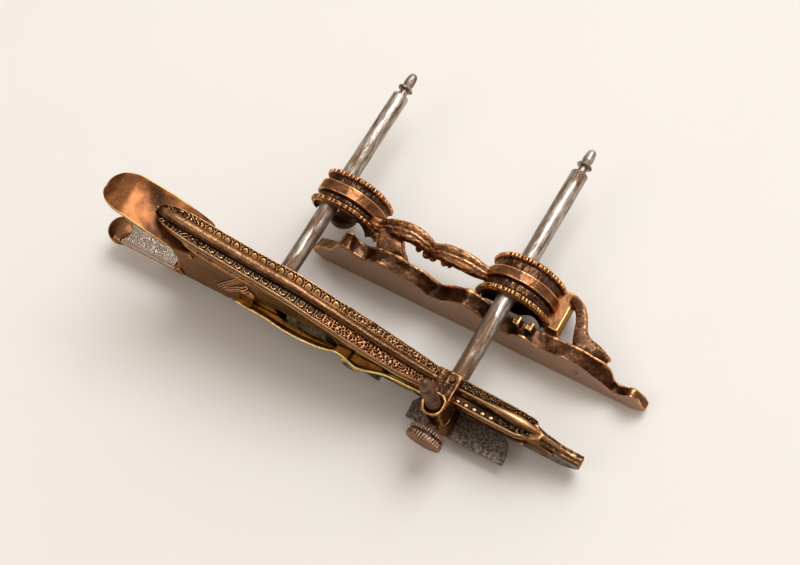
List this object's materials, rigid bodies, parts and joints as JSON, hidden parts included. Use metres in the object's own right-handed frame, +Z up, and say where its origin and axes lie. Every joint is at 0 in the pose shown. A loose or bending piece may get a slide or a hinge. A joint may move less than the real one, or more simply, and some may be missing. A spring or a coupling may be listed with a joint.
{
  "type": "plow plane",
  "caption": "Ornate cast metal plow plane: scrolled stock with handle and skates, arms carrying a sliding fence, cutter with side clamp, and a depth stop on a round post.",
  "frame": {"origin": "in the plane of the skate soles, at mid thickness of the skates, below the axis of the rear arm", "axes": "+X towards the nose, +Y along the arms towards the fence, +Z up"},
  "size_m": [0.2635, 0.1528, 0.0792],
  "materials": {
    "stock_bronze": "antique satin",
    "silvered_plate": "worn satin",
    "skate_steel": "satin",
    "arm_steel": "satin with patina",
    "fence_copper": "antique satin",
    "dark_bronze": "antique matte",
    "brown_steel": "browned",
    "shoe_steel": "pitted",
    "cutter_steel": "satin",
    "polished_brass": "polished"
  },
  "bodies": {
    "stock": {"main_stock": "stock_bronze", "heel_plate": "silvered_plate", "heel_plate_pins": "silvered_plate", "front_skate": "skate_steel", "rear_skate": "skate_steel", "front_skate_rivets": "skate_steel", "rear_skate_rivets": "skate_steel", "rear_arm": "arm_steel", "front_arm": "arm_steel", "arm_pins": "arm_steel", "clamp_dowel": "arm_steel"},
    "fence": {"fence": "fence_copper"},
    "rear_fence_screw": {"rear_fence_screw": "dark_bronze"},
    "front_fence_screw": {"front_fence_screw": "dark_bronze"},
    "depth_stop": {"depth_stop_post": "brown_steel", "depth_stop_shoe": "shoe_steel"},
    "depth_stop_screw": {"depth_stop_screw": "dark_bronze"},
    "cutter": {"cutter": "cutter_steel"},
    "cutter_clamp": {"cutter_clamp": "polished_brass"},
    "clamp_screw": {"clamp_screw": "arm_steel"}
  },
  "joints": [
    {"name": "fence_slide", "type": "slide", "parent": "stock", "child": "fence", "axis": [0, 1, 0], "range_m": [-0.026, 0.047]},
    {"name": "rear_fence_screw_turn", "type": "hinge", "parent": "fence", "child": "rear_fence_screw", "pos_m": [0, 0.0565, 0.014], "axis": [0, 0, -1], "range_deg": [0, 360]},
    {"name": "front_fence_screw_turn", "type": "hinge", "parent": "fence", "child": "front_fence_screw", "pos_m": [0.094, 0.0565, 0.014], "axis": [0, 0, -1], "range_deg": [0, 360]},
    {"name": "depth_stop_slide", "type": "slide", "parent": "stock", "child": "depth_stop", "axis": [0, 0, 1], "range_m": [-0.0062, 0]},
    {"name": "depth_stop_screw_turn", "type": "hinge", "parent": "stock", "child": "depth_stop_screw", "pos_m": [0.093, -0.0202, 0.0225], "axis": [0, -1, 0], "range_deg": [0, 360]},
    {"name": "cutter_slide", "type": "slide", "parent": "stock", "child": "cutter", "axis": [0.7071, 0, -0.7071], "range_m": [-0.004, 0.004]},
    {"name": "clamp_slide", "type": "slide", "parent": "stock", "child": "cutter_clamp", "axis": [0, -1, 0], "range_m": [0, 0.0015]},
    {"name": "clamp_screw_turn", "type": "hinge", "parent": "cutter_clamp", "child": "clamp_screw", "pos_m": [0.046, -0.0086, 0.0205], "axis": [0, -1, 0], "range_deg": [0, 540]}
  ],
  "couplings": [
    {"joint": "clamp_screw_turn", "follows": "clamp_slide", "rad_per_m": 6283.2}
  ]
}
